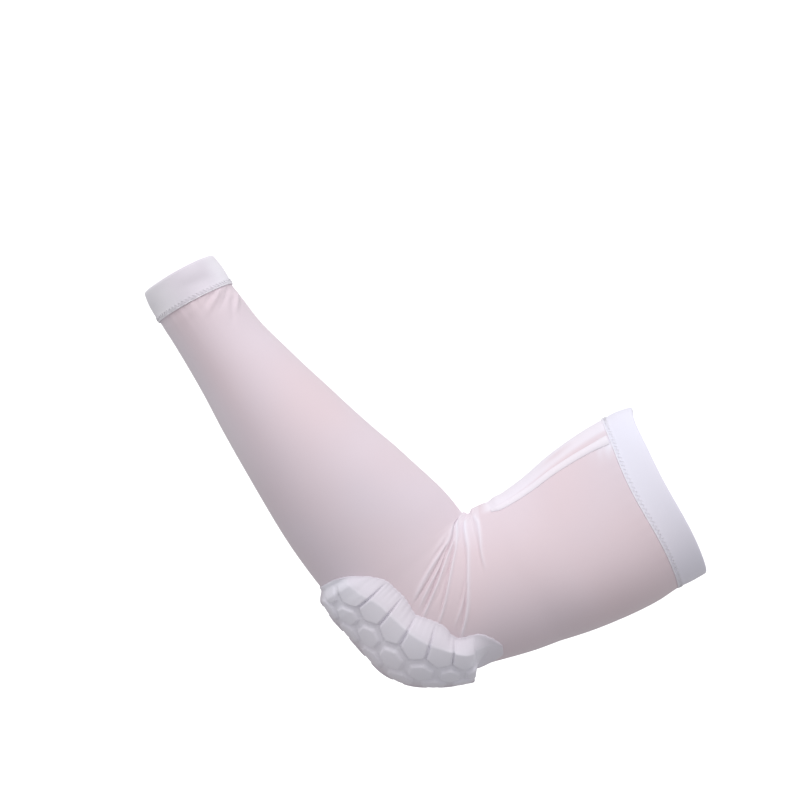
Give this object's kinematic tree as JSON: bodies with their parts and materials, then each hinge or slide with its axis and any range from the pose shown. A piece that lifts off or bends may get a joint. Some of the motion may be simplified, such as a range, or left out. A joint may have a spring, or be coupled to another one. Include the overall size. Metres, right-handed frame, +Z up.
{
  "type": "padded arm sleeve",
  "caption": "Stretch-knit arm sleeve worn on a bent elbow, with hemmed ends and a honeycomb foam pad round the outside of the elbow.",
  "frame": {"origin": "middle of the elbow, inside the hollow, where the arm holds the sleeve", "axes": "+Z up as pictured, +X toward the upper arm with the wrist at -X and high, +Y away from the camera across the sleeve"},
  "size_m": [0.3136, 0.0864, 0.2412],
  "materials": {
    "sleeve_knit": "thin stretch knit, pale rose white",
    "hem_knit": "doubled stretch knit, white",
    "pad_cover": "knit-covered moulded foam, white"
  },
  "bodies": {
    "root": {"sleeve_forearm": "sleeve_knit", "sleeve_elbow": "sleeve_knit", "sleeve_upper": "sleeve_knit", "wrist_hem": "hem_knit", "upper_hem": "hem_knit", "seam_tape": "hem_knit", "pad_base": "pad_cover", "hex_cell_01": "pad_cover", "hex_cell_02": "pad_cover", "hex_cell_03": "pad_cover", "hex_cell_04": "pad_cover", "hex_cell_05": "pad_cover", "hex_cell_06": "pad_cover", "hex_cell_07": "pad_cover", "hex_cell_08": "pad_cover", "hex_cell_09": "pad_cover", "hex_cell_10": "pad_cover", "hex_cell_11": "pad_cover", "hex_cell_12": "pad_cover", "hex_cell_13": "pad_cover", "hex_cell_14": "pad_cover", "hex_cell_15": "pad_cover", "hex_cell_16": "pad_cover", "hex_cell_17": "pad_cover", "hex_cell_18": "pad_cover", "hex_cell_19": "pad_cover", "hex_cell_20": "pad_cover", "hex_cell_21": "pad_cover", "hex_cell_22": "pad_cover", "hex_cell_23": "pad_cover", "hex_cell_24": "pad_cover", "hex_cell_25": "pad_cover", "hex_cell_26": "pad_cover", "hex_cell_27": "pad_cover", "hex_cell_28": "pad_cover", "hex_cell_29": "pad_cover", "hex_cell_30": "pad_cover", "hex_cell_31": "pad_cover", "hex_cell_32": "pad_cover", "hex_cell_33": "pad_cover", "hex_cell_34": "pad_cover", "hex_cell_35": "pad_cover", "hex_cell_36": "pad_cover", "hex_cell_37": "pad_cover", "hex_cell_38": "pad_cover", "hex_cell_39": "pad_cover", "hex_cell_40": "pad_cover", "hex_cell_41": "pad_cover", "hex_cell_42": "pad_cover", "hex_cell_43": "pad_cover", "hex_cell_44": "pad_cover", "hex_cell_45": "pad_cover"}
  },
  "joints": []
}
